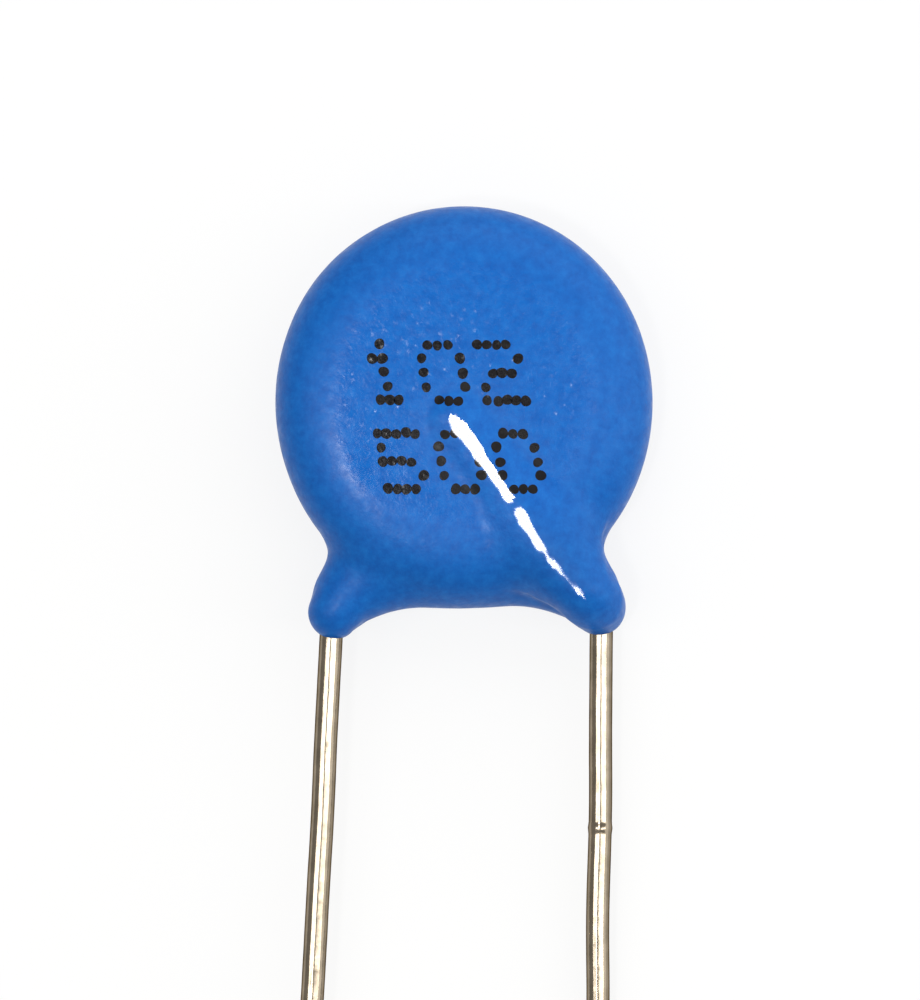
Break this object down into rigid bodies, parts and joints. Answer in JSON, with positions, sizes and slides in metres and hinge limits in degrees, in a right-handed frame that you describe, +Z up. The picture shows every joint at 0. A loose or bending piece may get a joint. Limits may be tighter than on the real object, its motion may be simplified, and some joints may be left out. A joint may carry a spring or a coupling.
{
  "type": "ceramic disc capacitor",
  "caption": "Radial-lead ceramic disc capacitor: a blue epoxy-dipped disc with a ridge over each lead, rounded feet and long tinned wire leads.",
  "frame": {"origin": "on the surface the part lies on, under the middle of its length and on the disc's centre line", "axes": "+Y from the lead tips to the top of the disc, +Z up, out of the front face; the part lies on the heel of its back ridge, the far edge of its back face and the front lead's tip"},
  "size_m": [0.011, 0.0369, 0.0037],
  "materials": {
    "epoxy": "satin",
    "ceramic": "matte",
    "silver": "matte",
    "solder": "satin",
    "tinned_wire": "polished"
  },
  "bodies": {
    "root": {"coating": "epoxy", "ceramic_disc": "ceramic", "front_electrode": "silver", "back_electrode": "silver", "front_solder": "solder", "back_solder": "solder", "front_lead": "tinned_wire", "back_lead": "tinned_wire"}
  },
  "joints": []
}
